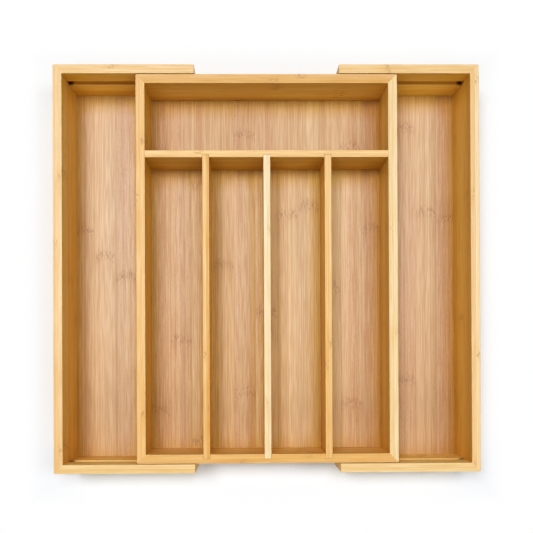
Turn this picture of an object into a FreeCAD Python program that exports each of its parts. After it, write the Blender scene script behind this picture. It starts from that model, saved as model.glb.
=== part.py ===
import FreeCAD, Part
import os
from FreeCAD import Vector

# Expandable bamboo cutlery tray: a fixed centre tray with one cross compartment and four long
# ones, and two U-shaped wings that slide out from under it to the left and to the right.
# It is modelled with both wings pulled out. +X is right, +Y is the back and +Z is up, and the
# origin lies under the middle of the tray, on the surface that the wings stand on.

# Overall sizes
wing_depth = 432.0            # front to back over the wings' arms
wing_height = 64.0            # table to rim
centre_width = 276.8          # side to side over the centre tray
wing_travel = 76.5            # how far each wing slides in

# Boards
wall_stock = 9.5              # outer walls and wing arms
panel_stock = 4.0             # floor panels
cross_divider_stock = 7.3
long_divider_stock = 7.2
arris_radius = 0.6            # eased edges of the walls
corner_margin = 0.9           # extra rounding on the upright outer corners
divider_arris_radius = 0.5    # eased top edges of the dividers
panel_arris_radius = 0.8      # eased leading edge of a wing's floor panel

# Floor panels in their grooves
wing_floor_recess = 4.0       # wing floor's underside above the table
centre_floor_recess = 6.2     # centre floor's underside above the centre walls' bottom edges
panel_groove_depth = 4.0
panel_edge_gap = 0.3          # panel to the bottom of its groove
panel_play = 0.2              # groove height over the panel's thickness
panel_setback = 1.0           # wing floor's leading edge behind the arms' free ends

# Dividers in their housings
back_compartment_depth = 71.2
divider_pitch = 64.7
cross_housing_depth = 2.9     # in the side walls
cross_housing_drop = 9.0      # rim to the top of the cross divider's housings
cross_shoulder_gap = 0.1      # cross divider's shoulders to the side walls
front_housing_depth = 4.9     # in the front wall
cross_slot_depth = 2.8        # in the cross divider
housing_play = 0.1            # divider to each cheek of its housing
housing_end_gap = 0.2         # divider's end to the bottom of its housing
divider_drop = 0.1            # divider's top edge under the rim

# Wing slides: runners on the centre tray in blind grooves along the arms
arm_side_gap = 0.8            # centre wall to arm
wing_end_gap = 1.3            # centre wall to the wing's end wall, pushed in
arm_meeting_gap = 0.6         # between the two wings' arms, pushed in
centre_lift = 0.8             # centre walls' bottom edges above the wing floors
groove_drop = 19.6            # rim to the groove's upper lip
groove_height = 8.7
groove_depth = 4.5
groove_lip_radius = 0.5       # eased mouth of the groove
arm_stop_length = 10.0        # wood left between the groove's blind end and the arm's free end
runner_play = 0.3             # runner to groove, above and below
runner_stop_gap = 0.3         # runner to the groove's blind end, pulled out
runner_reach = 3.6            # runner into the groove
runner_setback = 6.0          # runner's outer end from the centre tray's side
runner_pocket_depth = 2.0     # runner into the centre wall
runner_pocket_play = 0.1

# Cutting
overrun = 1.0                 # how far a cut runs past the wood
same_place = 0.001            # two places closer than this are one

# Places in plan, as distances from the middle
half_depth = wing_depth / 2
arm_inner_face = half_depth - wall_stock
centre_half_depth = arm_inner_face - arm_side_gap
centre_half_width = centre_width / 2
inner_half_depth = centre_half_depth - wall_stock
inner_half_width = centre_half_width - wall_stock
rest_half_width = centre_half_width + wing_end_gap + wall_stock + wing_travel
wing_inner_face = rest_half_width - wall_stock
arm_free_end = wing_travel + arm_meeting_gap / 2
cross_back_face = inner_half_depth - back_compartment_depth
cross_front_face = cross_back_face - cross_divider_stock
groove_blind_end = arm_free_end + arm_stop_length
runner_inner_end = groove_blind_end + runner_stop_gap
runner_outer_end = centre_half_width - runner_setback

# Heights
wing_floor_top = wing_floor_recess + panel_stock
centre_bottom = wing_floor_top + centre_lift
centre_floor_bottom = centre_bottom + centre_floor_recess
centre_floor_top = centre_floor_bottom + panel_stock
divider_top = wing_height - divider_drop
cross_housing_top = wing_height - cross_housing_drop
groove_top = wing_height - groove_drop
groove_bottom = groove_top - groove_height
runner_top = groove_top - runner_play
runner_bottom = groove_bottom + runner_play

corner_radius = arris_radius + corner_margin

# Directions
rightwards = Vector(1, 0, 0)
backwards = Vector(0, 1, 0)
upwards = Vector(0, 0, 1)


def block(x_span, y_span, z_span):
    """A box between two values on each axis, given in either order."""
    x_low, x_high = sorted(x_span)
    y_low, y_high = sorted(y_span)
    z_low, z_high = sorted(z_span)
    return Part.makeBox(x_high - x_low, y_high - y_low, z_high - z_low, Vector(x_low, y_low, z_low))


def both_sides(distance):
    """A span of the same distance on either side of the middle."""
    return (-distance, distance)


def slot(x_span, y_span, z_span):
    """A bar along X with half-round ends, the shape that a round cutter leaves or a runner has."""
    x_low, x_high = sorted(x_span)
    y_low, y_high = sorted(y_span)
    z_low, z_high = sorted(z_span)
    radius = (z_high - z_low) / 2
    middle = z_low + radius
    upper_left = Vector(x_low + radius, y_low, z_high)
    upper_right = Vector(x_high - radius, y_low, z_high)
    lower_right = Vector(x_high - radius, y_low, z_low)
    lower_left = Vector(x_low + radius, y_low, z_low)
    outline = [
        Part.LineSegment(upper_left, upper_right),
        Part.Arc(upper_right, Vector(x_high, y_low, middle), lower_right),
        Part.LineSegment(lower_right, lower_left),
        Part.Arc(lower_left, Vector(x_low, y_low, middle), upper_left),
    ]
    face = Part.Face(Part.Wire([curve.toShape() for curve in outline]))
    return face.extrude(backwards * (y_high - y_low))


def rounded_block(half_width, half_length, z_span):
    """The outside of a whole frame, with its four upright corners rounded."""
    body = block(both_sides(half_width), both_sides(half_length), z_span)
    upright = [edge for edge in body.Edges if runs_along(edge, upwards)]
    return body.makeFillet(corner_radius, upright)


def runs_along(edge, direction):
    """Whether an edge's two ends lie along a direction from each other."""
    run = edge.Vertexes[-1].Point - edge.Vertexes[0].Point
    return run.Length > same_place and run.cross(direction).Length < same_place


def is_mitre(edge):
    """Whether a level edge runs straight at 45 degrees, along a glued mitre."""
    run = edge.Vertexes[-1].Point - edge.Vertexes[0].Point
    slanted = abs(run.x) > same_place and abs(abs(run.x) - abs(run.y)) < same_place
    return slanted and edge.Curve.TypeId == "Part::GeomLine"


def is_level_at(edge, heights):
    """Whether an edge lies at one of the given heights."""
    return any(all(abs(point.Z - height) < same_place for point in edge.Vertexes) for height in heights)


def mitred_board(plan, frame, z_span):
    """A board over a plan with mitred ends, inside its frame's rounded corners, with eased edges."""
    corners = [Vector(x, y, z_span[0]) for x, y in plan]
    outline = Part.makePolygon(corners + corners[:1])
    prism = Part.Face(outline).extrude(upwards * (z_span[1] - z_span[0]))
    board = prism.common(frame).Solids[0]
    edges = [edge for edge in board.Edges if is_level_at(edge, z_span) and not is_mitre(edge)]
    edges += [edge for edge in board.Edges if runs_along(edge, upwards) and is_free_end(edge)]
    return board.makeFillet(arris_radius, edges)


def is_free_end(edge):
    """Whether an upright edge stands at the free end of a wing's arm."""
    return abs(abs(edge.Vertexes[0].X) - arm_free_end) < same_place


def is_groove_mouth(edge):
    """Whether an edge runs round the mouth of the groove in a wing's arm."""
    return all(abs(abs(point.Y) - arm_inner_face) < same_place
               and groove_bottom - same_place < point.Z < groove_top + same_place for point in edge.Vertexes)


def eased_divider(divider, lengthways):
    """A divider with its two long top edges eased."""
    long_edges = [edge for edge in divider.Edges
                  if is_level_at(edge, [divider_top]) and runs_along(edge, lengthways)]
    return divider.makeFillet(divider_arris_radius, long_edges)


def divider_places():
    """Where the middles of the three long dividers stand, by name."""
    return {"left_divider": -divider_pitch, "middle_divider": 0, "right_divider": divider_pitch}


def divider_housing(place, y_span):
    """The cut that takes a long divider's end."""
    half_slot = long_divider_stock / 2 + housing_play
    return block((place - half_slot, place + half_slot), y_span, (centre_floor_top, wing_height + overrun))


def runner_spans(side, end):
    """The X, Y and Z spans of the runner on one side (-1 left) of one end (-1 front) wall."""
    x_span = (side * runner_inner_end, side * runner_outer_end)
    y_span = (end * (centre_half_depth - runner_pocket_depth), end * (arm_inner_face + runner_reach))
    return x_span, y_span, (runner_bottom, runner_top)


def runner_pocket(side, end):
    """The shallow pocket in a centre wall that a runner is glued into."""
    x_span, y_span, z_span = runner_spans(side, end)
    x_near, x_far = sorted(x_span)
    room = (x_near - runner_pocket_play, x_far + runner_pocket_play)
    height = (z_span[0] - runner_pocket_play, z_span[1] + runner_pocket_play)
    return slot(room, (y_span[0], end * (centre_half_depth + overrun)), height)


def centre_walls():
    """The four mitred walls of the centre tray, grooved and housed."""
    z_span = (centre_bottom, wing_height)
    frame = rounded_block(centre_half_width, centre_half_depth, z_span)
    signs = [(-1, -1), (1, -1), (1, 1), (-1, 1)]
    outer = [(x * centre_half_width, y * centre_half_depth) for x, y in signs]
    inner = [(x * inner_half_width, y * inner_half_depth) for x, y in signs]
    walls = {}
    for start, name in enumerate(("front_wall", "right_wall", "back_wall", "left_wall")):
        stop = (start + 1) % len(signs)
        plan = [outer[start], outer[stop], inner[stop], inner[start]]
        walls[name] = mitred_board(plan, frame, z_span)
    panel_groove = block(both_sides(inner_half_width + panel_groove_depth),
                         both_sides(inner_half_depth + panel_groove_depth),
                         (centre_floor_bottom, centre_floor_top + panel_play))
    cross_housing = block(both_sides(inner_half_width + cross_housing_depth),
                          (cross_front_face - housing_play, cross_back_face + housing_play),
                          (centre_floor_top, cross_housing_top))
    front_span = (-inner_half_depth - front_housing_depth, -inner_half_depth + overrun)
    front_cuts = [divider_housing(place, front_span) for place in divider_places().values()]
    cuts = {
        "front_wall": front_cuts + [runner_pocket(side, -1) for side in (-1, 1)],
        "right_wall": [cross_housing],
        "back_wall": [runner_pocket(side, 1) for side in (-1, 1)],
        "left_wall": [cross_housing],
    }
    return {name: wall.cut([panel_groove] + cuts[name]) for name, wall in walls.items()}


def centre_floor():
    """The floor panel that the centre walls are built round."""
    margin = panel_groove_depth - panel_edge_gap
    return block(both_sides(inner_half_width + margin), both_sides(inner_half_depth + margin),
                 (centre_floor_bottom, centre_floor_top))


def cross_divider():
    """The divider behind the long compartments, tongued into the side walls and slotted for the others."""
    y_span = (cross_front_face, cross_back_face)
    board = block(both_sides(inner_half_width - cross_shoulder_gap), y_span, (centre_floor_top, divider_top))
    tongues = block(both_sides(inner_half_width + cross_housing_depth - housing_end_gap), y_span,
                    (centre_floor_top, cross_housing_top - housing_end_gap))
    divider = board.fuse(tongues).removeSplitter()
    slot_span = (cross_front_face - overrun, cross_front_face + cross_slot_depth)
    slots = [divider_housing(place, slot_span) for place in divider_places().values()]
    return eased_divider(divider, rightwards).cut(slots)


def long_divider(place):
    """A divider from the front wall to the cross divider."""
    front = -inner_half_depth - front_housing_depth + housing_end_gap
    back = cross_front_face + cross_slot_depth - housing_end_gap
    half_stock = long_divider_stock / 2
    divider = block((place - half_stock, place + half_stock), (front, back), (centre_floor_top, divider_top))
    return eased_divider(divider, backwards)


def runner(side, end):
    """A strip on the outside of the centre tray that carries one arm of one wing."""
    return slot(*runner_spans(side, end))


def wing_end(side):
    """The end wall of one wing."""
    z_span = (0, wing_height)
    plan = [(side * rest_half_width, -half_depth), (side * rest_half_width, half_depth),
            (side * wing_inner_face, arm_inner_face), (side * wing_inner_face, -arm_inner_face)]
    frame = rounded_block(rest_half_width, half_depth, z_span)
    return mitred_board(plan, frame, z_span).cut(wing_panel_groove(side))


def wing_arm(side, end):
    """One arm of a wing, with the blind groove, eased at its mouth, that runs on a runner."""
    z_span = (0, wing_height)
    plan = [(side * rest_half_width, end * half_depth), (side * wing_inner_face, end * arm_inner_face),
            (side * arm_free_end, end * arm_inner_face), (side * arm_free_end, end * half_depth)]
    frame = rounded_block(rest_half_width, half_depth, z_span)
    groove = slot((side * groove_blind_end, side * (rest_half_width + groove_height)),
                  (end * (arm_inner_face - overrun), end * (arm_inner_face + groove_depth)),
                  (groove_bottom, groove_top))
    arm = mitred_board(plan, frame, z_span).cut([wing_panel_groove(side), groove])
    return arm.makeFillet(groove_lip_radius, [edge for edge in arm.Edges if is_groove_mouth(edge)])


def wing_panel_groove(side):
    """The cut that takes a wing's floor panel in its end wall and arms."""
    return block((side * (arm_free_end - overrun), side * (wing_inner_face + panel_groove_depth)),
                 both_sides(arm_inner_face + panel_groove_depth),
                 (wing_floor_recess, wing_floor_top + panel_play))


def wing_floor(side):
    """A wing's floor panel, which slides under the centre tray, with its leading edge eased."""
    margin = panel_groove_depth - panel_edge_gap
    leading_edge = arm_free_end + panel_setback
    panel = block((side * leading_edge, side * (wing_inner_face + margin)),
                  both_sides(arm_inner_face + margin), (wing_floor_recess, wing_floor_top))
    eased = [edge for edge in panel.Edges if is_level_at(edge, [wing_floor_top])
             and all(abs(abs(point.X) - leading_edge) < same_place for point in edge.Vertexes)]
    return panel.makeFillet(panel_arris_radius, eased)


def tray_pieces():
    """Every piece of the tray, by name."""
    pieces = centre_walls()
    pieces["centre_floor"] = centre_floor()
    pieces["cross_divider"] = cross_divider()
    for name, place in divider_places().items():
        pieces[name] = long_divider(place)
    for side_name, side in (("left", -1), ("right", 1)):
        pieces[f"{side_name}_wing_end"] = wing_end(side)
        pieces[f"{side_name}_wing_floor"] = wing_floor(side)
        for end_name, end in (("front", -1), ("back", 1)):
            pieces[f"{side_name}_wing_{end_name}_arm"] = wing_arm(side, end)
            pieces[f"{end_name}_{side_name}_runner"] = runner(side, end)
    return pieces


os.makedirs("parts", exist_ok=True)
for node, shape in tray_pieces().items():
    print(node, shape.ShapeType, len(shape.Solids), shape.isValid(), round(shape.Volume))
    shape.exportStep(f"parts/{node}.step")
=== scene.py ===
import logging
from collections.abc import Callable
from dataclasses import dataclass, field, replace
from enum import Enum
from functools import partial
from math import pi, radians

import bpy
from mathutils import Matrix, Vector


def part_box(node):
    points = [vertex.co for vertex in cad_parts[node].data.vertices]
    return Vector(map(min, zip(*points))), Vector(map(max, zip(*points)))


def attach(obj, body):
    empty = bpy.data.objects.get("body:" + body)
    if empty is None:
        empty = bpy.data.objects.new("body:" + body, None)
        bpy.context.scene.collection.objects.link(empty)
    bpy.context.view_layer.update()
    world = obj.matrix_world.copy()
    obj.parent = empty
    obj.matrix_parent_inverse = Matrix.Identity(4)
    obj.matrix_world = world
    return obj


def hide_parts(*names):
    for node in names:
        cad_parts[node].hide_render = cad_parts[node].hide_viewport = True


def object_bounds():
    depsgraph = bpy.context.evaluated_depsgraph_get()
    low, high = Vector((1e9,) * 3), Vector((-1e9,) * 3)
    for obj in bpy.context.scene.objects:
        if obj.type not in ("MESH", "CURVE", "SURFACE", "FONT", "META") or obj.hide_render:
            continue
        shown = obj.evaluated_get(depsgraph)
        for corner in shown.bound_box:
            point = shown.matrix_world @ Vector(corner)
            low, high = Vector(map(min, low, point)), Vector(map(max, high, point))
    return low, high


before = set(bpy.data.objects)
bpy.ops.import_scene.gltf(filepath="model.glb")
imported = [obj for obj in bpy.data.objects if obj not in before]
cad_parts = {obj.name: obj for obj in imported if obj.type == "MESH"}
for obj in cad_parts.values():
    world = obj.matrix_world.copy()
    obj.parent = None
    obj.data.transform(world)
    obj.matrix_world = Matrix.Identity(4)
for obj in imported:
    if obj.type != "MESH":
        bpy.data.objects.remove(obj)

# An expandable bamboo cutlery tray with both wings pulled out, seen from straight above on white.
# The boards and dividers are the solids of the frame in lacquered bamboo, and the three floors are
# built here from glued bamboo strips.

LOG = logging.getLogger("cutlery_tray")
CAD_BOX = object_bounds()
MM = 0.001
MM_PER_METRE = 1000.0

AddNode = Callable[..., bpy.types.Node]
Socket = bpy.types.NodeSocket
Sockets = bpy.types.bpy_prop_collection
Range = tuple[float, float]

# Settings that many nodes share. A Mix node takes its colours at inputs 6 and 7 and gives output 2.
MIX = {"data_type": "RGBA"}
TINT = {"data_type": "RGBA", "blend_type": "MULTIPLY"}
SMOOTH = {"interpolation_type": "SMOOTHSTEP"}

WHITE = (1.0, 1.0, 1.0, 1.0)
HALF_CELL = (0.5, 0.5, 0.5)

# Inputs of the bamboo group. A finish has a field for each name of its own, in small letters.
PIECE_NUMBERS = ("Seed", "Strip width", "Ply thickness", "Rim height")
FINISH_NUMBERS = ("Knuckle spacing", "Strip contrast", "Band contrast", "Fibre contrast",
                  "Mottle contrast", "Pore strength", "Knuckle strength", "Seam strength")
FINISH_COLOURS = ("Pale", "Shade", "Line", "Blush", "Knuckle", "Face tint", "Corner stain",
                  "Sun tint", "Back tint")
GROUP_SOCKETS = (("INPUT", "NodeSocketVector", ("Place", "Grain", "Facing")),
                 ("INPUT", "NodeSocketFloat", PIECE_NUMBERS + FINISH_NUMBERS),
                 ("INPUT", "NodeSocketColor", FINISH_COLOURS),
                 ("OUTPUT", "NodeSocketColor", ("Colour",)),
                 ("OUTPUT", "NodeSocketFloat", ("Roughness", "Height")))


def linear_colour(hex_colour: str) -> tuple[float, float, float, float]:
    """Turns an sRGB hex colour into the linear colour that a shader takes.

    Args:
        hex_colour: a colour such as "#E8C080".

    Returns:
        Linear red, green, blue and an alpha of 1.
    """
    channels = [int(hex_colour[start:start + 2], 16) / 255 for start in (1, 3, 5)]
    linear = [c / 12.92 if c <= 0.04045 else ((c + 0.055) / 1.055) ** 2.4 for c in channels]
    return (linear[0], linear[1], linear[2], 1.0)


def add_node(tree: bpy.types.NodeTree, kind: str, inputs: dict | None = None, **settings) -> bpy.types.Node:
    """Adds a node with its settings and links.

    Args:
        tree: the node tree that takes the node.
        kind: the node's type.
        inputs: for an input's name or number, the socket that it is linked from or the value it gets.
        settings: the node's own properties.

    Returns:
        The new node.
    """
    node = tree.nodes.new(kind)
    for name, value in settings.items():
        setattr(node, name, value)
    for key, value in (inputs or {}).items():
        if isinstance(value, Socket):
            tree.links.new(value, node.inputs[key])
        else:
            node.inputs[key].default_value = value
    return node


def seen_directly(tree: bpy.types.NodeTree) -> Socket:
    """Adds the test for rays that show the background rather than light the object.

    Args:
        tree: the material's or world's tree.

    Returns:
        A socket that is 1 for camera, glossy and transmission rays.
    """
    path = add_node(tree, "ShaderNodeLightPath").outputs
    seen = path["Is Camera Ray"]
    for ray in ("Is Glossy Ray", "Is Transmission Ray"):
        seen = add_node(tree, "ShaderNodeMath", {0: seen, 1: path[ray]}, operation="MAXIMUM").outputs[0]
    return seen


class Grain(Enum):
    """Which way a piece's fibres run, and which way its strips lie side by side."""

    CROSSWAYS_WALL = ((1, 0, 0), (0, 0, 1))
    LENGTHWAYS_WALL = ((0, 1, 0), (0, 0, 1))
    LENGTHWAYS_PANEL = ((0, 1, 0), (1, 0, 0))

    def turn(self) -> Matrix:
        """The rotation to axes along the fibres, across the strips and through the plies."""
        along, across = (Vector(axis) for axis in self.value)
        return Matrix((along, across, along.cross(across)))


@dataclass(frozen=True)
class GrainNoise:
    """A noise stretched along the fibres, with its length and width in millimetres.

    With a rib, the noise that far beside is taken off, which leaves thin lines and no broad ones.
    """

    name: str
    length: float
    width: float
    weight: float = 1.0
    detail: float = 0.0
    rib: float = 0.0
    mean: float = 0.5

    def add(self, add: AddNode, grain: Socket, shift: Socket) -> Socket:
        """Adds the noise to a group.

        Args:
            add: adds a node to the group.
            grain: the place in millimetres along the fibres, across the strips and through the plies.
            shift: moves each strip to another part of the noise.

        Returns:
            The noise around zero, times its weight.
        """
        look = {"Scale": 1.0, "Detail": self.detail}
        stretch = (1 / self.length, 1 / self.width, 1 / self.width)
        place = add("ShaderNodeVectorMath", {0: grain, 1: stretch, 2: shift},
                    operation="MULTIPLY_ADD").outputs[0]
        noise = add("ShaderNodeTexNoise", {"Vector": place} | look).outputs[0]
        taken_off = self.mean
        if self.rib:
            step = (0.0, self.rib / self.width, self.rib / self.width)
            beside = add("ShaderNodeVectorMath", {0: place, 1: step}, operation="ADD").outputs[0]
            taken_off = add("ShaderNodeTexNoise", {"Vector": beside} | look).outputs[0]
        noise = add("ShaderNodeMath", {0: noise, 1: taken_off}, operation="SUBTRACT").outputs[0]
        return add("ShaderNodeMath", {0: noise, 1: self.weight}, operation="MULTIPLY").outputs[0]


@dataclass(frozen=True)
class BambooPattern:
    """What bamboo looks like up close: fibres, pores, streaks and knuckles, in millimetres.

    Real fibres are about 0.3 mm wide. They are drawn three to four times as wide, because the camera
    sees about one millimetre to the pixel and finer ones would not show.
    """

    sway: GrainNoise = GrainNoise("sway", 300.0, 60.0, weight=0.9, detail=1.0)
    noises: tuple[GrainNoise, ...] = (
        GrainNoise("fibre", 26.0, 0.9, rib=1.2),
        GrainNoise("dash", 60.0, 1.0, weight=0.7),
        GrainNoise("streak", 1200.0, 1.1, weight=0.9, rib=1.2),
        GrainNoise("mottle", 45.0, 7.0, detail=2.0),
        GrainNoise("band", 1500.0, 20.0, detail=3.0),
        GrainNoise("blush", 300.0, 14.0, weight=1.6, detail=1.0),
        GrainNoise("pore", 5.0, 0.9),
        GrainNoise("speck", 4.0, 1.1),
        GrainNoise("rag", 60.0, 1.3, weight=14.0, detail=1.0))
    one_cell: float = 1.0e6
    shuffle: float = 40.0
    knuckle_arch: float = 5.0
    knuckle_edge: float = 9.0
    knuckle_halo: float = 40.0
    seam_width: float = 0.5
    rim_depth: Range = (1.0, 3.0)

    # Where an effect starts and where it is full: for the noises, and for how far a face is turned.
    fibre_swing: Range = (-0.2, 0.2)
    speck_swing: Range = (-0.05, 0.1)
    blush_swing: Range = (0.2, 0.9)
    pore_swing: Range = (0.06, 0.24)
    end_swing: Range = (-0.15, 0.2)
    flat_turn: Range = (0.4, 0.9)
    arris_turn: Range = (0.1, 0.4)
    end_turn: Range = (0.6, 0.95)

    # Shares of a colour, tones between pale and shaded, and the lacquer's sheen and relief.
    blush_share: float = 0.6
    arris_share: float = 0.5
    middle_tone: float = 0.45
    middle_line: float = 0.5
    halo_tone: float = 0.12
    roughness: Range = (0.46, 0.58)
    seam_height: float = -2.0

    # Painted shade in corners, at the grooves' ends and towards the front and back, in metres like the
    # piece's own coordinates. How open a corner is runs from 0 to 1, and the lean turns the test for it
    # towards the back, so that the painted shade is deepest at the feet of the back walls.
    corner_reach: float = 26.0 * MM
    corner_open: Range = (0.45, 0.93)
    corner_lean: tuple[float, float, float] = (0.0, 0.35, 0.0)
    corner_samples: int = 8
    groove_end_shade_place: tuple[float, float, float] = (214.5 * MM, 209.2 * MM, 36.5 * MM)
    groove_end_shade_reach: Range = (1.2 * MM, 5.2 * MM)
    groove_end_shade_colour: str = "#5E3A1C"
    front_shade_ramp: Range = (60.0 * MM, -190.0 * MM)
    back_shade_ramp: Range = (110.0 * MM, 135.0 * MM)

    def build(self) -> bpy.types.NodeTree:
        """Builds the shader group that every bamboo finish uses.

        Returns:
            A group with the inputs that a finish sets, and a colour, a roughness and a height.
        """
        tree = bpy.data.node_groups.new("bamboo_pattern", "ShaderNodeTree")
        for way, kind, names in GROUP_SOCKETS:
            for name in names:
                tree.interface.new_socket(name, in_out=way, socket_type=kind)
        add = partial(add_node, tree)
        given = add("NodeGroupInput").outputs

        # Strips lie side by side and in plies, and each cell draws its own luck.
        cell_size = add("ShaderNodeCombineXYZ", {"X": self.one_cell, "Y": given["Strip width"],
                                                 "Z": given["Ply thickness"]}).outputs[0]
        cells = add("ShaderNodeVectorMath", {0: given["Grain"], 1: cell_size}, operation="DIVIDE").outputs[0]
        cell = add("ShaderNodeVectorMath", {0: cells}, operation="FLOOR").outputs[0]
        luck = add("ShaderNodeTexWhiteNoise", {"Vector": cell, "W": given["Seed"]},
                   noise_dimensions="4D").outputs["Color"]
        within = add("ShaderNodeVectorMath", {0: cells}, operation="FRACTION").outputs[0]
        within = add("ShaderNodeVectorMath", {0: within, 1: HALF_CELL}, operation="SUBTRACT").outputs[0]

        # Fibres sway a little along their length.
        shift = add("ShaderNodeVectorMath", {0: luck, "Scale": self.shuffle}, operation="SCALE").outputs[0]
        sway = self.sway.add(add, given["Grain"], shift)
        sway = add("ShaderNodeCombineXYZ", {"Y": sway, "Z": sway}).outputs[0]
        swayed = add("ShaderNodeVectorMath", {0: given["Grain"], 1: sway}, operation="ADD").outputs[0]
        noises = {noise.name: noise.add(add, swayed, shift) for noise in self.noises}

        knuckle, halo = self.knuckles(add, given, within, luck, noises)
        colour = self.wood(add, given, luck, noises, knuckle, halo)
        seam = self.seams(add, given, within, cell_size)
        colour = add("ShaderNodeMix", {0: seam, 6: colour, 7: given["Knuckle"]}, **MIX).outputs[2]
        colour = self.tint_with_shade(add, given, colour, noises)
        colour = self.paint_shade(add, given, colour)
        low, high = self.fibre_swing
        smooth, rough = self.roughness
        roughness = add("ShaderNodeMapRange", {"Value": noises["fibre"], "From Min": low, "From Max": high,
                                               "To Min": smooth, "To Max": rough}).outputs[0]
        height = add("ShaderNodeMath", {0: seam, 1: self.seam_height, 2: noises["fibre"]},
                     operation="MULTIPLY_ADD").outputs[0]
        add("NodeGroupOutput", {"Colour": colour, "Roughness": roughness, "Height": height})
        return tree

    def knuckles(self, add: AddNode, given: Sockets, within: Socket, luck: Socket,
                 noises: dict[str, Socket]) -> tuple[Socket, Socket]:
        """Adds the ragged, speckled arches across each strip where the stem had its joints.

        Args:
            add: adds a node to the group.
            given: the group's inputs.
            within: the place within a strip, from -0.5 to 0.5.
            luck: a random colour for each strip.
            noises: the noises by name.

        Returns:
            The strength of the speckled arch, and of the shade around it.
        """
        spacing = given["Knuckle spacing"]
        lucky_place = add("ShaderNodeSeparateColor", {0: luck}).outputs[1]
        offset = add("ShaderNodeSeparateXYZ", {0: given["Grain"]}).outputs[0]
        for operation, operand in (("DIVIDE", spacing), ("ADD", lucky_place), ("FRACT", 0.0),
                                   ("SUBTRACT", 0.5), ("MULTIPLY", spacing)):
            offset = add("ShaderNodeMath", {0: offset, 1: operand}, operation=operation).outputs[0]

        # The place across a strip ends at 0.5, so four times its square is 1 at the strip's edges.
        across = add("ShaderNodeSeparateXYZ", {0: within}).outputs[1]
        arch = add("ShaderNodeMath", {0: across, 1: across}, operation="MULTIPLY").outputs[0]
        offset = add("ShaderNodeMath", {0: arch, 1: 4 * self.knuckle_arch, 2: offset},
                     operation="MULTIPLY_ADD").outputs[0]
        offset = add("ShaderNodeMath", {0: offset, 1: noises["rag"]}, operation="ADD").outputs[0]
        offset = add("ShaderNodeMath", {0: offset}, operation="ABSOLUTE").outputs[0]
        line, halo = (add("ShaderNodeMapRange", {"Value": offset, "From Max": edge, "To Min": 1.0,
                                                 "To Max": 0.0}, **SMOOTH).outputs[0]
                      for edge in (self.knuckle_edge, self.knuckle_halo))
        low, high = self.speck_swing
        specks = add("ShaderNodeMapRange", {"Value": noises["speck"], "From Min": low,
                                            "From Max": high}).outputs[0]
        line = add("ShaderNodeMath", {0: line, 1: specks}, operation="MULTIPLY").outputs[0]
        return line, halo

    def wood(self, add: AddNode, given: Sockets, luck: Socket, noises: dict[str, Socket],
             knuckle: Socket, halo: Socket) -> Socket:
        """Mixes the wood's colour from its tone, its fibres, its knuckles and the blush of some strips.

        Args:
            add: adds a node to the group.
            given: the group's inputs.
            luck: a random colour for each strip.
            noises: the noises by name.
            knuckle: the strength of the knuckles' speckled arch.
            halo: the strength of the shade around them.

        Returns:
            The colour.
        """
        lucky_tone, _, lucky_blush = add("ShaderNodeSeparateColor", {0: luck}).outputs[:3]
        blush = add("ShaderNodeMath", {0: noises["blush"], 1: lucky_blush}, operation="ADD").outputs[0]
        low, high = self.blush_swing
        blush = add("ShaderNodeMapRange", {"Value": blush, "From Min": low, "From Max": high,
                                           "To Max": self.blush_share}, **SMOOTH).outputs[0]
        base = add("ShaderNodeMix", {0: blush, 6: given["Pale"], 7: given["Blush"]}, **MIX).outputs[2]
        tone = add("ShaderNodeMath", {0: lucky_tone, 1: 0.5}, operation="SUBTRACT").outputs[0]
        tone = add("ShaderNodeMath", {0: tone, 1: given["Strip contrast"], 2: self.middle_tone},
                   operation="MULTIPLY_ADD").outputs[0]
        for part, weight in ((noises["band"], given["Band contrast"]),
                             (noises["mottle"], given["Mottle contrast"]), (halo, self.halo_tone)):
            tone = add("ShaderNodeMath", {0: part, 1: weight, 2: tone}, operation="MULTIPLY_ADD").outputs[0]
        colour = add("ShaderNodeMix", {0: tone, 6: base, 7: given["Shade"]}, **TINT).outputs[2]
        lines = self.middle_line
        for name in ("streak", "dash", "fibre"):
            lines = add("ShaderNodeMath", {0: noises[name], 1: given["Fibre contrast"], 2: lines},
                        operation="MULTIPLY_ADD").outputs[0]
        colour = add("ShaderNodeMix", {0: lines, 6: colour, 7: given["Line"]}, **TINT).outputs[2]
        low, high = self.pore_swing
        pores = add("ShaderNodeMapRange", {"Value": noises["pore"], "From Min": low, "From Max": high,
                                           "To Max": given["Pore strength"]}).outputs[0]
        pores = add("ShaderNodeMath", {0: pores, 1: blush}, operation="MULTIPLY").outputs[0]
        marks = add("ShaderNodeMath", {0: knuckle, 1: given["Knuckle strength"], 2: pores},
                    operation="MULTIPLY_ADD").outputs[0]
        return add("ShaderNodeMix", {0: marks, 6: colour, 7: given["Knuckle"]}, **MIX).outputs[2]

    def seams(self, add: AddNode, given: Sockets, within: Socket, cell_size: Socket) -> Socket:
        """Adds the thin glue lines between the strips and between the plies.

        Args:
            add: adds a node to the group.
            given: the group's inputs.
            within: the place within a strip, from -0.5 to 0.5.
            cell_size: the size of a strip in millimetres.

        Returns:
            The strength of the glue line.
        """
        middle = add("ShaderNodeVectorMath", {0: within}, operation="ABSOLUTE").outputs[0]
        edge = add("ShaderNodeVectorMath", {0: HALF_CELL, 1: middle}, operation="SUBTRACT").outputs[0]
        edge = add("ShaderNodeVectorMath", {0: edge, 1: cell_size}, operation="MULTIPLY").outputs[0]
        _, strip_edge, ply_edge = add("ShaderNodeSeparateXYZ", {0: edge}).outputs
        edge = add("ShaderNodeMath", {0: strip_edge, 1: ply_edge}, operation="MINIMUM").outputs[0]
        return add("ShaderNodeMapRange", {"Value": edge, "From Max": self.seam_width,
                                          "To Min": given["Seam strength"], "To Max": 0.0},
                   **SMOOTH).outputs[0]

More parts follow.
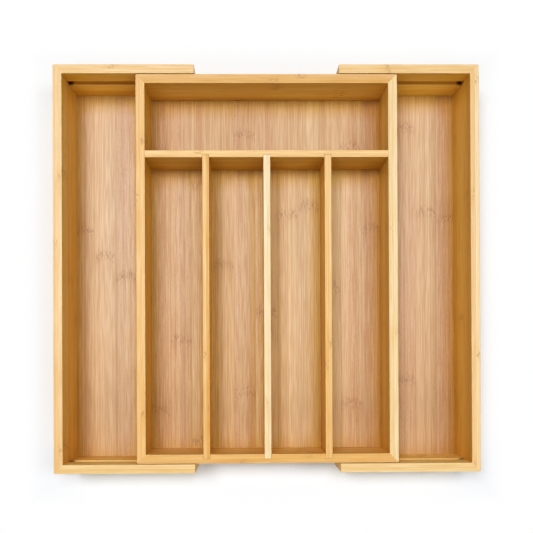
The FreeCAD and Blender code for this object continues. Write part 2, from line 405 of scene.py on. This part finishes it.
    def tint_with_shade(self, add: AddNode, given: Sockets, colour: Socket, noises: dict[str, Socket]) -> Socket:
        """Tints and shades the wood: only the sanded rim keeps its pale colour.

        Flat faces and grooves are darker, partly the lacquer's deeper colour and partly painted shade.
        The eased arrises are lighter, partly sanded and partly a painted highlight, and end grain is the
        darkest.

        Args:
            add: adds a node to the group.
            given: the group's inputs.
            colour: the wood's own colour.
            noises: the noises by name.

        Returns:
            The stained colour.
        """
        # Flat faces and all below the rim take the face tint: partly the lacquer's deeper colour, partly
        # painted shade.
        facing = add("ShaderNodeVectorMath", {0: given["Facing"]}, operation="ABSOLUTE").outputs[0]
        end, side, face = add("ShaderNodeSeparateXYZ", {0: facing}).outputs
        low, high = self.flat_turn
        flat = add("ShaderNodeMapRange", {"Value": face, "From Min": low, "From Max": high},
                   **SMOOTH).outputs[0]
        below = add("ShaderNodeSeparateXYZ", {0: given["Grain"]}).outputs[1]
        below = add("ShaderNodeMath", {0: given["Rim height"], 1: below}, operation="SUBTRACT").outputs[0]
        shallow, deep = self.rim_depth
        below = add("ShaderNodeMapRange", {"Value": below, "From Min": shallow, "From Max": deep}).outputs[0]
        tinted_and_shaded = add("ShaderNodeMath", {0: flat, 1: below}, operation="MAXIMUM").outputs[0]
        colour = add("ShaderNodeMix", {0: tinted_and_shaded, 6: colour, 7: given["Face tint"]}, **TINT).outputs[2]

        # Eased arrises turn paler: partly sanding, partly a painted highlight.
        arris = add("ShaderNodeMath", {0: side, 1: face}, operation="MULTIPLY").outputs[0]
        low, high = self.arris_turn
        arris = add("ShaderNodeMapRange", {"Value": arris, "From Min": low, "From Max": high,
                                           "To Max": self.arris_share}, **SMOOTH).outputs[0]
        colour = add("ShaderNodeMix", {0: arris, 6: colour, 7: given["Pale"]}, **MIX).outputs[2]

        low, high = self.end_turn
        end = add("ShaderNodeMapRange", {"Value": end, "From Min": low, "From Max": high},
                  **SMOOTH).outputs[0]
        low, high = self.end_swing
        fibres = add("ShaderNodeMapRange", {"Value": noises["dash"], "From Min": low,
                                            "From Max": high}).outputs[0]
        end = add("ShaderNodeMath", {0: end, 1: fibres}, operation="MULTIPLY").outputs[0]
        return add("ShaderNodeMix", {0: end, 6: colour, 7: given["Knuckle"]}, **MIX).outputs[2]

    def paint_shade(self, add: AddNode, given: Sockets, colour: Socket) -> Socket:
        """Paints shade into the wood's colour: in corners, at the grooves' ends and from front to back.

        Args:
            add: adds a node to the group.
            given: the group's inputs.
            colour: the tinted and shaded colour.

        Returns:
            The toned colour.
        """
        # Painted shade: corners and the feet of walls are darker and warmer, most of all at the back.
        normal = add("ShaderNodeNewGeometry").outputs["Normal"]
        leaning = add("ShaderNodeVectorMath", {0: normal, 1: self.corner_lean}, operation="ADD").outputs[0]
        leaning = add("ShaderNodeVectorMath", {0: leaning}, operation="NORMALIZE").outputs[0]
        opening = add("ShaderNodeAmbientOcclusion", {"Distance": self.corner_reach, "Normal": leaning},
                      samples=self.corner_samples).outputs["AO"]
        closed, clear = self.corner_open
        corner = add("ShaderNodeMapRange", {"Value": opening, "From Min": closed, "From Max": clear,
                                            "To Min": 1.0, "To Max": 0.0}).outputs[0]
        colour = add("ShaderNodeMix", {0: corner, 6: colour, 7: given["Corner stain"]}, **TINT).outputs[2]

        # Painted shade at the closed end of each wing's grooves, by the mitre.
        folded = add("ShaderNodeVectorMath", {0: given["Place"]}, operation="ABSOLUTE").outputs[0]
        away = add("ShaderNodeVectorMath", {0: folded, 1: self.groove_end_shade_place},
                   operation="DISTANCE").outputs["Value"]
        shade_full, shade_none = self.groove_end_shade_reach
        groove_end_shaded = add("ShaderNodeMapRange", {"Value": away, "From Min": shade_full, "From Max": shade_none,
                                              "To Min": 1.0, "To Max": 0.0}, **SMOOTH).outputs[0]
        tint_with_shade = linear_colour(self.groove_end_shade_colour)
        colour = add("ShaderNodeMix", {0: groove_end_shaded, 6: colour, 7: tint_with_shade}, **TINT).outputs[2]

        # Painted shade: the wood is warmer and darker towards the front, and, where a finish has a back
        # shade, on the open floor at the back.
        depth = add("ShaderNodeSeparateXYZ", {0: given["Place"]}).outputs[1]
        for (start, end), tint in ((self.front_shade_ramp, "Sun tint"), (self.back_shade_ramp, "Back tint")):
            toned = add("ShaderNodeMapRange", {"Value": depth, "From Min": start,
                                               "From Max": end}).outputs[0]
            colour = add("ShaderNodeMix", {0: toned, 6: colour, 7: given[tint]}, **TINT).outputs[2]
        return colour


@dataclass(frozen=True)
class BambooFinish:
    """Laminated bamboo, planed, sanded and sprayed with a satin lacquer.

    It gives the eye straight fine fibres, strips of slightly different tone, darker ragged knuckles
    where the stem had its joints, and a soft sheen. The knuckle spacing is in millimetres.
    """

    name: str
    pale: str
    shade: str
    blush: str
    knuckle: str
    face_tint: str
    # Painted shade in corners and at the feet of walls.
    corner_stain: str = "#E6DDC5"
    line: str = "#F5ECDD"
    sun_tint: str = "#FFF8E9"
    back_tint: str = "#FFFFFF"
    knuckle_spacing: float = 290.0
    strip_contrast: float = 0.7
    band_contrast: float = 1.8
    fibre_contrast: float = 1.6
    mottle_contrast: float = 0.7
    pore_strength: float = 0.1
    knuckle_strength: float = 0.75
    seam_strength: float = 0.25
    ior: float = 1.5
    specular: float = 0.3
    coat: float = 0.04
    coat_roughness: float = 0.3
    fibre_relief: float = 0.015 * MM
    shuffle_step: float = 613.0

    def setting(self, name: str) -> float | str:
        """The field behind the group's input of that name."""
        return getattr(self, name.lower().replace(" ", "_"))

    def material(self, piece: str, grain: Grain, box: tuple[Vector, Vector], margin: Range, cell: Range,
                 seed: int, pattern: bpy.types.NodeTree) -> bpy.types.Material:
        """Makes the finish for one piece, with its own stretch of the pattern.

        Args:
            piece: the piece's name.
            grain: which way its fibres run.
            box: the piece's lowest and highest corners in metres.
            margin: how far the outer strips and plies reach past the planed faces, in millimetres.
            cell: the width of its strips and the thickness of its plies in millimetres.
            seed: picks the stretch of bamboo that the piece was cut from.
            pattern: the shared bamboo group.

        Returns:
            The new material.
        """
        material = bpy.data.materials.new(f"{self.name}_{piece}")
        material.use_nodes = True
        tree = material.node_tree
        tree.nodes.clear()
        add = partial(add_node, tree)
        turn = grain.turn()
        angles = turn.to_euler("XYZ")
        corners = [turn @ (corner * MM_PER_METRE) for corner in box]
        start = Vector(min(values) for values in zip(*corners))
        start -= Vector((seed * self.shuffle_step, *margin))
        place = add("ShaderNodeTexCoord").outputs
        in_grain = add("ShaderNodeMapping",
                       {"Vector": place["Object"], "Location": -start, "Rotation": angles,
                        "Scale": (MM_PER_METRE, MM_PER_METRE, MM_PER_METRE)}).outputs[0]
        facing = add("ShaderNodeMapping", {"Vector": place["Normal"], "Rotation": angles},
                     vector_type="VECTOR").outputs[0]
        rim_height = max(corner.y for corner in corners) - start.y
        values = {"Place": place["Object"], "Grain": in_grain, "Facing": facing}
        values |= zip(PIECE_NUMBERS, (float(seed), *cell, rim_height))
        values |= {name: self.setting(name) for name in FINISH_NUMBERS}
        values |= {name: linear_colour(self.setting(name)) for name in FINISH_COLOURS}
        look = add("ShaderNodeGroup", values, node_tree=pattern).outputs
        relief = add("ShaderNodeBump", {"Height": look["Height"], "Strength": 1.0,
                                        "Distance": self.fibre_relief}).outputs[0]
        shader = add("ShaderNodeBsdfPrincipled",
                     {"Base Color": look["Colour"], "Roughness": look["Roughness"], "Normal": relief,
                      "IOR": self.ior, "Specular IOR Level": self.specular, "Coat Weight": self.coat,
                      "Coat Roughness": self.coat_roughness}).outputs[0]
        add("ShaderNodeOutputMaterial", {"Surface": shader})
        return material


# Face tints are partly the faces' deeper colour and partly painted shade; corner colours are painted shade.
# A creamy rim over light yellow faces: the right wall and the middle divider.
PALE = BambooFinish("pale_bamboo", pale="#FFEFD1", shade="#F3E5B5", blush="#FFE8CD", knuckle="#E2B77B",
                    face_tint="#F4DD85")
# A light, warm rim over yellow faces: the wings' end walls.
STRAW = BambooFinish("straw_bamboo", pale="#FEE4B7", shade="#EFDAAD", blush="#FBDCAF", knuckle="#D0A262",
                     face_tint="#FAEB91")
# An orange rim over deep ochre faces: the cross divider.
AMBER = BambooFinish("amber_bamboo", pale="#FAD698", shade="#EFDAAD", blush="#F7CF92", knuckle="#CC9751",
                     face_tint="#DDCC67", corner_stain="#EDE3CB")
# A golden rim over deep yellow faces: the left wall, the outer dividers and the runners.
GOLDEN = BambooFinish("golden_bamboo", pale="#FBD69A", shade="#EAD194", blush="#F8CE97", knuckle="#C69659",
                      face_tint="#EEDF6C")
# A brownish gold with little difference between rim and face: the back wall.
HONEY = BambooFinish("honey_bamboo", pale="#F3CE91", shade="#ECD396", blush="#EFC68F", knuckle="#BC8D54",
                     face_tint="#FFFCAC", corner_stain="#F4EBD8")
# The same gold, paler: the front wall.
WHEAT = BambooFinish("wheat_bamboo", pale="#FCDCA4", shade="#ECD396", blush="#F8D3A1", knuckle="#C4965E",
                     face_tint="#FFFFDC", corner_stain="#F4EBD8")
# A pinkish brown with fine dark fibres, faint seams and brown knuckles: the centre tray's floor.
STEAMED = BambooFinish("steamed_bamboo", pale="#EDD7B2", shade="#DDC6AC", blush="#E4C5A6", knuckle="#9E6F51",
                       face_tint="#FFFFFF", corner_stain="#E6D17C", line="#ECDFD6", back_tint="#FCF6F2",
                       strip_contrast=0.4, band_contrast=1.6, mottle_contrast=0.0, pore_strength=0.3,
                       knuckle_strength=0.52, seam_strength=0.06, fibre_contrast=2.0)
# Straw with deeper faces: the wings' back arms. The deeper faces are painted shade, as these inner faces
# turn from the lamps.
SHADED_STRAW = replace(STRAW, name="toasted_bamboo", face_tint="#FFF082")
# Straw with paler rims and faces and a lighter painted corner shade: the wings' front arms. The paler
# faces are painted light, as these inner faces turn to the lamps.
LIT_STRAW = replace(STRAW, name="sunned_bamboo", pale="#FFEBC0", blush="#FEE3B8", face_tint="#FFFFD0",
                 corner_stain="#F4EBD8")
# Steamed bamboo, pinker and with softer fibres: the wings' floors.
ROSY = replace(STEAMED, name="rosy_bamboo", pale="#EBD6B5", blush="#E2C3AB", sun_tint="#FBF1DF",
               back_tint="#FFFFFF", fibre_contrast=1.5)


@dataclass(frozen=True)
class Board:
    """A wall, arm, divider or runner: a solid of the frame that only needs its finish.

    Planed off is how much of the outer strips and plies is gone, in millimetres.
    """

    node: str
    grain: Grain
    finish: BambooFinish
    seed: int
    strips: int = 3
    plies: int = 2
    planed_off: float = 1.2

    def dress(self, pattern: bpy.types.NodeTree) -> None:
        """Gives the board its bamboo.

        Args:
            pattern: the shared bamboo group.
        """
        low, high = (Vector(corner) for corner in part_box(self.node))
        size = self.grain.turn() @ (high - low) * MM_PER_METRE
        gone = 2 * self.planed_off
        cell = ((abs(size.y) + gone) / self.strips, (abs(size.z) + gone) / self.plies)
        margin = (self.planed_off, self.planed_off)
        material = self.finish.material(self.node, self.grain, (low, high), margin, cell, self.seed, pattern)
        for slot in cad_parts[self.node].material_slots:
            slot.material = material
        LOG.info("%s: board in %s", self.node, self.finish.name)


@dataclass
class StripPanel:
    """A floor panel glued up from bamboo strips that lie side by side, front to back.

    Sizes are in metres, and planed off, how much of the strips' thickness is gone, in millimetres.
    """

    node: str
    body: str
    seed: int
    finish: BambooFinish = STEAMED
    strip_width: float = 23.5 * MM
    glue_line: float = 0.02 * MM
    seam_radius: float = 0.12 * MM
    planed_off: float = 1.2
    corner_points: int = 2
    tree_inputs: dict[str, str] = field(default_factory=dict)

    def strip_tree(self) -> bpy.types.NodeTree:
        """Builds the tree that repeats one eased strip over the panel's width.

        Returns:
            The tree, whose sizes are its named inputs.
        """
        tree = bpy.data.node_groups.new("bamboo_strips", "GeometryNodeTree")
        for name, kind in (("Width", "NodeSocketFloat"), ("Length", "NodeSocketFloat"),
                           ("Thickness", "NodeSocketFloat"), ("Centre", "NodeSocketVector"),
                           ("Strips", "NodeSocketInt"), ("Glue line", "NodeSocketFloat"),
                           ("Seam radius", "NodeSocketFloat"), ("Finish", "NodeSocketMaterial")):
            socket = tree.interface.new_socket(name, in_out="INPUT", socket_type=kind)
            self.tree_inputs[name] = socket.identifier
        tree.interface.new_socket("Panel", in_out="OUTPUT", socket_type="NodeSocketGeometry")
        add = partial(add_node, tree)
        given = add("NodeGroupInput").outputs

        # One strip: its section is drawn along a line from the front to the back.
        pitch = add("ShaderNodeMath", {0: given["Width"], 1: given["Strips"]}, operation="DIVIDE").outputs[0]
        strip_width = add("ShaderNodeMath", {0: pitch, 1: given["Glue line"]},
                          operation="SUBTRACT").outputs[0]
        section = add("GeometryNodeCurvePrimitiveQuadrilateral",
                      {"Width": strip_width, "Height": given["Thickness"]}).outputs[0]
        eased = add("GeometryNodeFilletCurve",
                    {"Curve": section, "Count": self.corner_points, "Radius": given["Seam radius"],
                     "Limit Radius": True}, mode="POLY").outputs[0]
        back = add("ShaderNodeMath", {0: given["Length"], 1: 0.5}, operation="MULTIPLY").outputs[0]
        front = add("ShaderNodeMath", {0: back, 1: -1.0}, operation="MULTIPLY").outputs[0]
        front_end, back_end = (add("ShaderNodeCombineXYZ", {"Y": end}).outputs[0] for end in (front, back))
        path = add("GeometryNodeCurvePrimitiveLine", {"Start": front_end, "End": back_end}).outputs[0]
        strip = add("GeometryNodeCurveToMesh",
                    {"Curve": path, "Profile Curve": eased, "Fill Caps": True}).outputs[0]

        # All strips: one stands at each place, evenly about the panel's middle.
        last = add("ShaderNodeMath", {0: given["Strips"], 1: 1.0}, operation="SUBTRACT").outputs[0]
        reach = add("ShaderNodeMath", {0: last, 1: -0.5}, operation="MULTIPLY").outputs[0]
        first_place = add("ShaderNodeMath", {0: reach, 1: pitch}, operation="MULTIPLY").outputs[0]
        start, step = (add("ShaderNodeCombineXYZ", {"X": x}).outputs[0] for x in (first_place, pitch))
        places = add("GeometryNodeMeshLine",
                     {"Count": given["Strips"], "Start Location": start, "Offset": step}).outputs[0]
        strips = add("GeometryNodeInstanceOnPoints", {"Points": places, "Instance": strip}).outputs[0]
        seated = add("GeometryNodeTransform",
                     {"Geometry": strips, "Translation": given["Centre"]}).outputs[0]
        joined = add("GeometryNodeRealizeInstances", {"Geometry": seated}).outputs[0]
        finished = add("GeometryNodeSetMaterial",
                       {"Geometry": joined, "Material": given["Finish"]}).outputs[0]
        add("NodeGroupOutput", {"Panel": finished})
        return tree

    def build(self, pattern: bpy.types.NodeTree) -> bpy.types.Object:
        """Makes the panel in the place of its solid.

        Args:
            pattern: the shared bamboo group.

        Returns:
            The finished panel, as a plain mesh that rides on its body.
        """
        low, high = (Vector(corner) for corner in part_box(self.node))
        size = high - low
        strips = round(size.x / self.strip_width)
        cell = (size.x / strips * MM_PER_METRE, size.z * MM_PER_METRE + 2 * self.planed_off)
        margin = (0.0, self.planed_off)
        material = self.finish.material(self.node, Grain.LENGTHWAYS_PANEL, (low, high), margin, cell,
                                        self.seed, pattern)
        maker = bpy.data.objects.new(f"{self.node}_maker", bpy.data.meshes.new(f"{self.node}_maker"))
        bpy.context.collection.objects.link(maker)
        modifier = maker.modifiers.new("strips", "NODES")
        modifier.node_group = self.strip_tree()
        for name, value in (("Width", size.x), ("Length", size.y), ("Thickness", size.z),
                            ("Centre", (low + high) / 2), ("Strips", strips), ("Glue line", self.glue_line),
                            ("Seam radius", self.seam_radius), ("Finish", material)):
            modifier[self.tree_inputs[name]] = value
        evaluated = maker.evaluated_get(bpy.context.evaluated_depsgraph_get())
        mesh = bpy.data.meshes.new_from_object(evaluated)
        mesh.name = f"{self.node}_strips"
        panel = bpy.data.objects.new(mesh.name, mesh)
        bpy.context.collection.objects.link(panel)
        bpy.data.objects.remove(maker)
        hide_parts(self.node)
        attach(panel, self.body)
        LOG.info("%s: %d strips, %d faces", panel.name, strips, len(mesh.polygons))
        return panel


@dataclass
class CentreTray:
    """The fixed tray: four mitred walls, a cross divider, three long ones, runners and a floor."""

    boards: tuple[Board, ...] = (
        Board("back_wall", Grain.CROSSWAYS_WALL, HONEY, 3),
        Board("front_wall", Grain.CROSSWAYS_WALL, WHEAT, 5),
        Board("left_wall", Grain.LENGTHWAYS_WALL, GOLDEN, 11),
        Board("right_wall", Grain.LENGTHWAYS_WALL, PALE, 13),
        Board("cross_divider", Grain.CROSSWAYS_WALL, AMBER, 21),
        Board("left_divider", Grain.LENGTHWAYS_WALL, GOLDEN, 37),
        Board("middle_divider", Grain.LENGTHWAYS_WALL, PALE, 55),
        Board("right_divider", Grain.LENGTHWAYS_WALL, GOLDEN, 89),
        Board("back_left_runner", Grain.CROSSWAYS_WALL, GOLDEN, 2, strips=1),
        Board("back_right_runner", Grain.CROSSWAYS_WALL, GOLDEN, 4, strips=1),
        Board("front_left_runner", Grain.CROSSWAYS_WALL, GOLDEN, 6, strips=1),
        Board("front_right_runner", Grain.CROSSWAYS_WALL, GOLDEN, 9, strips=1),
    )
    floor: StripPanel = field(default_factory=lambda: StripPanel("centre_floor", "centre_tray", 19))

    def build(self, pattern: bpy.types.NodeTree) -> None:
        """Builds the floor and dresses the boards.

        Args:
            pattern: the shared bamboo group.
        """
        self.floor.build(pattern)
        for board in self.boards:
            board.dress(pattern)


@dataclass
class SlidingWing:
    """One U-shaped wing: an end wall, two arms and a floor that slides under the centre tray."""

    side: str
    seed: int

    def build(self, pattern: bpy.types.NodeTree) -> None:
        """Builds the wing's floor and dresses its boards.

        Args:
            pattern: the shared bamboo group.
        """
        StripPanel(f"{self.side}_wing_floor", f"{self.side}_wing", self.seed, ROSY).build(pattern)
        Board(f"{self.side}_wing_end", Grain.LENGTHWAYS_WALL, STRAW, self.seed + 1).dress(pattern)
        Board(f"{self.side}_wing_back_arm", Grain.CROSSWAYS_WALL, SHADED_STRAW, self.seed + 2).dress(pattern)
        Board(f"{self.side}_wing_front_arm", Grain.CROSSWAYS_WALL, LIT_STRAW, self.seed + 3).dress(pattern)


@dataclass(frozen=True)
class SoftLamp:
    """A rectangular softbox that faces the tray, in metres."""

    name: str
    centre: tuple[float, float, float]
    size: Range
    share: float

    def add(self) -> None:
        """Adds the lamp, with the power that gives its share of the light on the tray's level faces."""
        place = Vector(self.centre)
        data = bpy.data.lights.new(self.name, "AREA")
        data.shape = "RECTANGLE"
        data.size, data.size_y = self.size
        data.energy = self.share * pi ** 2 * place.length ** 3 / place.z
        lamp = bpy.data.objects.new(self.name, data)
        lamp.location = place
        lamp.rotation_euler = place.to_track_quat("Z", "Y").to_euler()
        bpy.context.collection.objects.link(lamp)


@dataclass
class Studio:
    """A white sweep, four soft lamps and a camera that looks straight down.

    The camera's turn is in degrees, and its lens and sensor are in millimetres.
    """

    camera_place: tuple[float, float, float] = (-19.5 * MM, -91.0 * MM, 702.5 * MM)
    camera_turn: tuple[float, float, float] = (0.20, -0.56, -0.25)
    lens: float = 40.86
    sensor: float = 36.0
    shift: Range = (0.0214, 0.1612)
    lamps: tuple[SoftLamp, ...] = (
        SoftLamp("left_softbox", (-0.67, 0.36, 2.20), (0.63, 0.66), 0.45),
        SoftLamp("top_softbox", (0.13, 0.42, 2.20), (0.50, 0.66), 0.28),
        SoftLamp("right_fill", (1.40, 0.10, 2.20), (0.60, 0.80), 0.16),
        SoftLamp("front_fill", (0.00, -1.90, 1.20), (2.00, 0.70), 0.12))
    sky_strength: float = 0.01
    floor_size: float = 20.0
    floor_colour: str = "#EDEDED"
    floor_seen: tuple[float, float, float] = (0.965, 0.978, 0.998)
    floor_before: tuple[float, float, float] = (0.935, 0.965, 1.015)
    before: Range = (-150.0 * MM, -215.0 * MM)
    shadow_reach: Range = (15.0 * MM, 55.0 * MM)

    def build(self) -> None:
        """Makes the camera, the lights and the floor."""
        self.add_camera()
        self.add_lights()
        self.add_floor()
        bpy.context.scene.view_settings.view_transform = "Standard"
        LOG.info("studio: camera, lamps, sky and floor")

    def add_camera(self) -> None:
        """Adds the camera over the front half of the tray, shifted to frame it whole."""
        data = bpy.data.cameras.new("overhead_camera")
        data.lens = self.lens
        data.sensor_width = self.sensor
        data.sensor_fit = "HORIZONTAL"
        data.shift_x, data.shift_y = self.shift
        camera = bpy.data.objects.new("overhead_camera", data)
        camera.location = self.camera_place
        camera.rotation_euler = [radians(angle) for angle in self.camera_turn]
        bpy.context.collection.objects.link(camera)
        bpy.context.scene.camera = camera

    def add_lights(self) -> None:
        """Adds the lamps and an even sky, which is plain white where it shows."""
        for lamp in self.lamps:
            lamp.add()
        world = bpy.data.worlds.new("white_sky")
        world.use_nodes = True
        tree = world.node_tree
        tree.nodes.clear()
        seen = seen_directly(tree)
        lit, shown = (add_node(tree, "ShaderNodeBackground", {"Color": WHITE, "Strength": level}).outputs[0]
                      for level in (self.sky_strength, 1.0))
        mixed = add_node(tree, "ShaderNodeMixShader", {0: seen, 1: lit, 2: shown}).outputs[0]
        add_node(tree, "ShaderNodeOutputWorld", {"Surface": mixed})
        bpy.context.scene.world = world

    def add_floor(self) -> None:
        """Adds the white floor, which keeps the tray's shadow and fades to pure white further out."""
        half = self.floor_size / 2
        corners = [(-half, -half, 0), (half, -half, 0), (half, half, 0), (-half, half, 0)]
        mesh = bpy.data.meshes.new("white_floor")
        mesh.from_pydata(corners, [], [(0, 1, 2, 3)])
        floor = bpy.data.objects.new("white_floor", mesh)
        bpy.context.collection.objects.link(floor)

        # White paper: matt, without grain or edge, so that only the tray's soft shadow shows.
        material = bpy.data.materials.new("white_paper_sweep")
        material.use_nodes = True
        tree = material.node_tree
        tree.nodes.clear()
        add = partial(add_node, tree)
        seen = seen_directly(tree)
        lit = add("ShaderNodeBsdfDiffuse", {"Color": linear_colour(self.floor_colour)}).outputs[0]
        far = add("ShaderNodeEmission", {"Color": WHITE, "Strength": 1.0}).outputs[0]
        place = add("ShaderNodeTexCoord").outputs["Object"]

        # The tray's front throws warm light on the paper before it, so the paper is a shade cooler there.
        front = add("ShaderNodeSeparateXYZ", {0: place}).outputs[1]
        start, end = self.before
        front = add("ShaderNodeMapRange", {"Value": front, "From Min": start, "From Max": end}).outputs[0]
        paper = add("ShaderNodeMix", {0: front, 6: (*self.floor_seen, 1.0), 7: (*self.floor_before, 1.0)},
                    **MIX).outputs[2]
        near = add("ShaderNodeBsdfDiffuse", {"Color": paper}).outputs[0]

        aside = add("ShaderNodeVectorMath", {0: place}, operation="ABSOLUTE").outputs[0]
        aside = add("ShaderNodeVectorMath", {0: aside, 1: CAD_BOX[1]}, operation="SUBTRACT").outputs[0]
        aside = add("ShaderNodeSeparateXYZ", {0: aside}).outputs
        reach = add("ShaderNodeMath", {0: aside[0], 1: aside[1]}, operation="MAXIMUM").outputs[0]
        start, end = self.shadow_reach
        fade = add("ShaderNodeMapRange", {"Value": reach, "From Min": start, "From Max": end},
                   **SMOOTH).outputs[0]
        shown = add("ShaderNodeMixShader", {0: fade, 1: near, 2: far}).outputs[0]
        mixed = add("ShaderNodeMixShader", {0: seen, 1: lit, 2: shown}).outputs[0]
        add("ShaderNodeOutputMaterial", {"Surface": mixed})
        mesh.materials.append(material)


def main() -> None:
    """Builds the tray and its studio in order."""
    logging.basicConfig(level=logging.INFO, format="%(message)s")
    pattern = BambooPattern().build()
    CentreTray().build(pattern)
    SlidingWing("left", 185).build(pattern)
    SlidingWing("right", 251).build(pattern)
    Studio().build()


if __name__ == "__main__":
    main()
